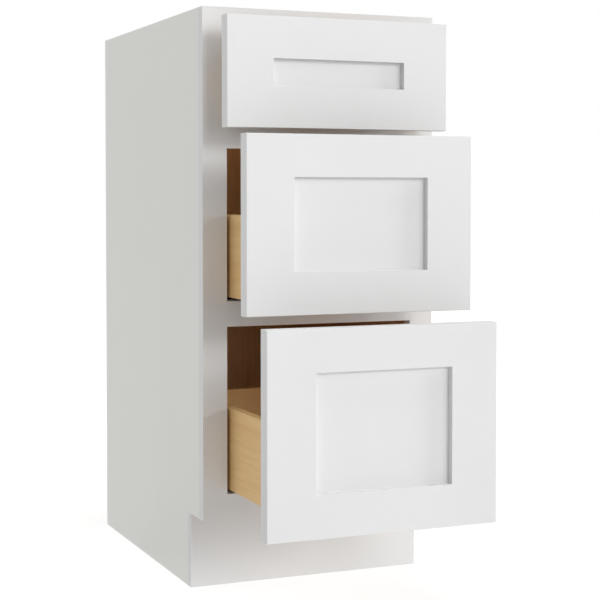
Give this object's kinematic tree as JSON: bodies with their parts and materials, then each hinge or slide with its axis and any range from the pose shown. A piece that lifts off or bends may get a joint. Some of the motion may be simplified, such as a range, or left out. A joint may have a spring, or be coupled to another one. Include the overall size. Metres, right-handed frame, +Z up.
{
  "type": "vanity drawer base cabinet",
  "caption": "Narrow white bathroom vanity base with a face frame, toe space and partly open shaker drawers that run out on telescopic slides under their wooden boxes.",
  "frame": {"origin": "middle of the line where the cabinet's back meets the floor", "axes": "+X to the cabinet's right seen from the front, +Y towards the wall, +Z up; the drawers open along -Y"},
  "size_m": [0.381, 0.7588, 0.8763],
  "materials": {
    "white_lacquer": "satin white lacquer",
    "birch_plywood": "clear coated plywood",
    "birch_wood": "bare sanded wood",
    "maple": "clear coated",
    "zinc_steel": "zinc plated",
    "grey_nylon": "moulded",
    "clear_rubber": "soft, milky"
  },
  "bodies": {
    "cabinet": {"side_panel_left": "white_lacquer", "side_panel_right": "white_lacquer", "toe_kick_board": "white_lacquer", "frame_stile_left": "white_lacquer", "frame_stile_right": "white_lacquer", "frame_rail_top": "white_lacquer", "frame_rail_upper": "white_lacquer", "frame_rail_lower": "white_lacquer", "frame_rail_bottom": "white_lacquer", "cabinet_floor": "birch_plywood", "back_panel": "birch_plywood", "upper_nailer": "birch_plywood", "lower_nailer": "birch_plywood", "corner_blocks": "birch_wood", "slide_cleats": "birch_wood", "fixed_slide_rails": "zinc_steel", "slide_screws": "zinc_steel"},
    "top_drawer": {"top_drawer_front_stile_left": "white_lacquer", "top_drawer_front_stile_right": "white_lacquer", "top_drawer_front_rails": "white_lacquer", "top_drawer_front_panel": "white_lacquer", "top_drawer_box_side_left": "maple", "top_drawer_box_side_right": "maple", "top_drawer_box_front": "maple", "top_drawer_box_back": "maple", "top_drawer_box_bottom": "maple", "top_drawer_slide_members": "zinc_steel", "top_drawer_front_screws": "zinc_steel", "top_drawer_locking_clips": "grey_nylon", "top_drawer_bumpers": "clear_rubber"},
    "top_runners": {"top_middle_slide_members": "zinc_steel"},
    "middle_drawer": {"middle_drawer_front_stile_left": "white_lacquer", "middle_drawer_front_stile_right": "white_lacquer", "middle_drawer_front_rails": "white_lacquer", "middle_drawer_front_panel": "white_lacquer", "middle_drawer_box_side_left": "maple", "middle_drawer_box_side_right": "maple", "middle_drawer_box_front": "maple", "middle_drawer_box_back": "maple", "middle_drawer_box_bottom": "maple", "middle_drawer_slide_members": "zinc_steel", "middle_drawer_front_screws": "zinc_steel", "middle_drawer_locking_clips": "grey_nylon", "middle_drawer_bumpers": "clear_rubber"},
    "middle_runners": {"middle_middle_slide_members": "zinc_steel"},
    "bottom_drawer": {"bottom_drawer_front_stile_left": "white_lacquer", "bottom_drawer_front_stile_right": "white_lacquer", "bottom_drawer_front_rails": "white_lacquer", "bottom_drawer_front_panel": "white_lacquer", "bottom_drawer_box_side_left": "maple", "bottom_drawer_box_side_right": "maple", "bottom_drawer_box_front": "maple", "bottom_drawer_box_back": "maple", "bottom_drawer_box_bottom": "maple", "bottom_drawer_slide_members": "zinc_steel", "bottom_drawer_front_screws": "zinc_steel", "bottom_drawer_locking_clips": "grey_nylon", "bottom_drawer_bumpers": "clear_rubber"},
    "bottom_runners": {"bottom_middle_slide_members": "zinc_steel"}
  },
  "joints": [
    {"name": "top_drawer_slide", "type": "slide", "parent": "cabinet", "child": "top_drawer", "axis": [0, -1, 0], "range_m": [-0.0471, 0.3829]},
    {"name": "top_runners_slide", "type": "slide", "parent": "cabinet", "child": "top_runners", "axis": [0, -1, 0], "range_m": [-0.02355, 0.19145]},
    {"name": "middle_drawer_slide", "type": "slide", "parent": "cabinet", "child": "middle_drawer", "axis": [0, -1, 0], "range_m": [-0.1246, 0.3054]},
    {"name": "middle_runners_slide", "type": "slide", "parent": "cabinet", "child": "middle_runners", "axis": [0, -1, 0], "range_m": [-0.0623, 0.1527]},
    {"name": "bottom_drawer_slide", "type": "slide", "parent": "cabinet", "child": "bottom_drawer", "axis": [0, -1, 0], "range_m": [-0.2012, 0.2288]},
    {"name": "bottom_runners_slide", "type": "slide", "parent": "cabinet", "child": "bottom_runners", "axis": [0, -1, 0], "range_m": [-0.1006, 0.1144]}
  ],
  "couplings": [
    {"joint": "top_runners_slide", "follows": "top_drawer_slide", "ratio": 0.5},
    {"joint": "middle_runners_slide", "follows": "middle_drawer_slide", "ratio": 0.5},
    {"joint": "bottom_runners_slide", "follows": "bottom_drawer_slide", "ratio": 0.5}
  ]
}
